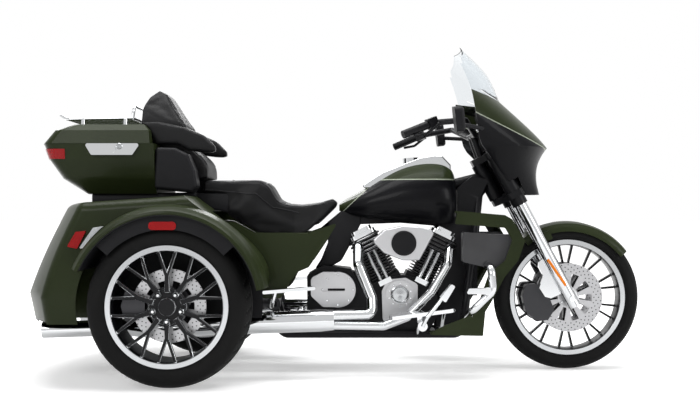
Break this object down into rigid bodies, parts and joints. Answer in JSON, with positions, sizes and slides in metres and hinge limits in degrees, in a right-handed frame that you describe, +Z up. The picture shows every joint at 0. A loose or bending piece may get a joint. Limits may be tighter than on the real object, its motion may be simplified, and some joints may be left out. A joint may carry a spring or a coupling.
{
  "type": "motorized trike",
  "caption": "Touring motor trike with a steered front wheel, fork fairing, engine, stepped seat, top box and two rear wheels under wide fenders.",
  "frame": {"origin": "on the ground under the middle of the length and the width", "axes": "+X forward, +Y to the rider's left, +Z up"},
  "size_m": [2.6549, 1.39, 1.4059],
  "materials": {
    "green_paint": "dark olive-green metallic under clear coat",
    "two_tone_paint": "dark green above and black below, with a fine light line",
    "chrome": "polished chrome",
    "black_metal": "satin black coating",
    "engine_black": "black coating with machined fin edges",
    "satin_alloy": "satin grey alloy",
    "rim_finish": "machined rim ring with black spokes",
    "disc_steel": "brushed steel",
    "tyre": "black rubber with a moulded tread",
    "seat_leather": "black grained cover with piping",
    "screen_glass": "clear",
    "black_plastic": "fine-grained black",
    "vent_plastic": "grey moulded",
    "red_lens": "deep red, ribbed inside",
    "clear_lens": "clear",
    "mirror_housing": "gloss black"
  },
  "bodies": {
    "chassis": {"air_cleaner": "satin_alloy", "backrest": "seat_leather", "box_latch": "chrome", "clear_lamps": "clear_lens", "crankcase": "engine_black", "cylinders": "engine_black", "engine_covers": "satin_alloy", "engine_guard": "chrome", "exhaust_headers": "chrome", "foot_controls": "chrome", "footrests": "chrome", "frame": "black_metal", "fuel_tank": "two_tone_paint", "lower_fairings": "green_paint", "lower_vents": "vent_plastic", "mufflers": "chrome", "oil_cooler": "black_metal", "pushrod_tubes": "chrome", "rear_axle": "black_metal", "rear_calipers": "satin_alloy", "rear_fenders": "green_paint", "rear_tub": "green_paint", "red_lamps": "red_lens", "rocker_covers": "chrome", "seat": "seat_leather", "shocks": "black_metal", "side_panels": "green_paint", "speaker_pods": "black_plastic", "tank_console": "black_metal", "tour_box": "green_paint", "wheel_liners": "black_plastic"},
    "steering": {"fork": "black_metal", "fork_sliders": "chrome", "fork_covers": "black_metal", "front_axle": "chrome", "front_calipers": "satin_alloy", "front_fender": "green_paint", "outer_fairing": "two_tone_paint", "inner_fairing": "black_plastic", "windscreen": "screen_glass", "headlamp": "black_plastic", "handlebar": "black_metal", "mirrors": "mirror_housing"},
    "front_wheel": {"front_tyre": "tyre", "front_rim": "rim_finish", "front_brake_discs": "disc_steel"},
    "rear_wheel_right": {"rear_tyre_right": "tyre", "rear_rim_right": "rim_finish", "rear_brake_disc_right": "disc_steel"},
    "rear_wheel_left": {"rear_tyre_left": "tyre", "rear_rim_left": "rim_finish", "rear_brake_disc_left": "disc_steel"},
    "box_lid": {"box_lid": "green_paint", "luggage_rack": "chrome"},
    "trunk_door": {"trunk_door": "green_paint"}
  },
  "joints": [
    {"name": "steering", "type": "hinge", "parent": "chassis", "child": "steering", "pos_m": [0.6757, 0, 0.8177], "axis": [-0.4741, 0, 0.8805], "range_deg": [-30, 30]},
    {"name": "front_wheel_spin", "type": "hinge", "parent": "steering", "child": "front_wheel", "pos_m": [1.0157, 0, 0.3193], "axis": [0, 1, 0], "continuous": true},
    {"name": "rear_wheel_right_spin", "type": "hinge", "parent": "chassis", "child": "rear_wheel_right", "pos_m": [-0.6543, -0.537, 0.3254], "axis": [0, 1, 0], "continuous": true},
    {"name": "rear_wheel_left_spin", "type": "hinge", "parent": "chassis", "child": "rear_wheel_left", "pos_m": [-0.6543, 0.537, 0.3254], "axis": [0, 1, 0], "continuous": true},
    {"name": "box_lid_hinge", "type": "hinge", "parent": "chassis", "child": "box_lid", "pos_m": [-1.03, 0.33, 0.9813], "axis": [-1, 0, 0], "range_deg": [0, 80]},
    {"name": "trunk_door_hinge", "type": "hinge", "parent": "chassis", "child": "trunk_door", "pos_m": [-1.261, 0.247, 0.445], "axis": [-0.4153, 0, -0.9097], "range_deg": [0, 100]}
  ]
}
